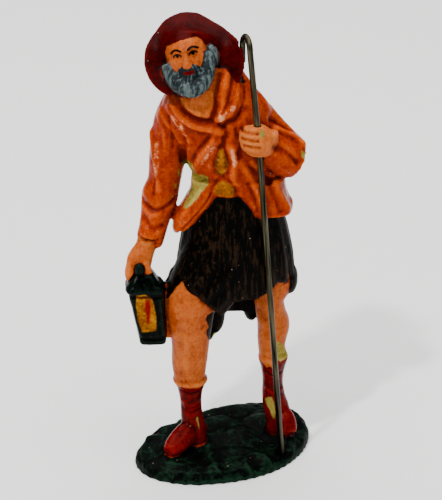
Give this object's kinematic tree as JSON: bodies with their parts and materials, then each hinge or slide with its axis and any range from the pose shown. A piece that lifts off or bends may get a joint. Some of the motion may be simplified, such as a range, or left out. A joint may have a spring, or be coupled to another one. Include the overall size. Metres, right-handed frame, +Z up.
{
  "type": "nativity figurine",
  "caption": "Small painted crib shepherd in a wide hat, walking on a rocky ground, with a lantern in one hand and a wire crook in the other.",
  "frame": {"origin": "middle of the flat underside of the ground that the figure stands on", "axes": "+Z up; the figure faces -Y; +X towards the hand that holds the crook"},
  "size_m": [0.0444, 0.0361, 0.1121],
  "materials": {
    "painted_composition": "cast plaster composition, hand painted in orange, dark red, black, flesh and green, with worn chips",
    "steel_wire": "tarnished drawn wire"
  },
  "bodies": {
    "root": {"shepherd": "painted_composition", "crook": "steel_wire"}
  },
  "joints": []
}
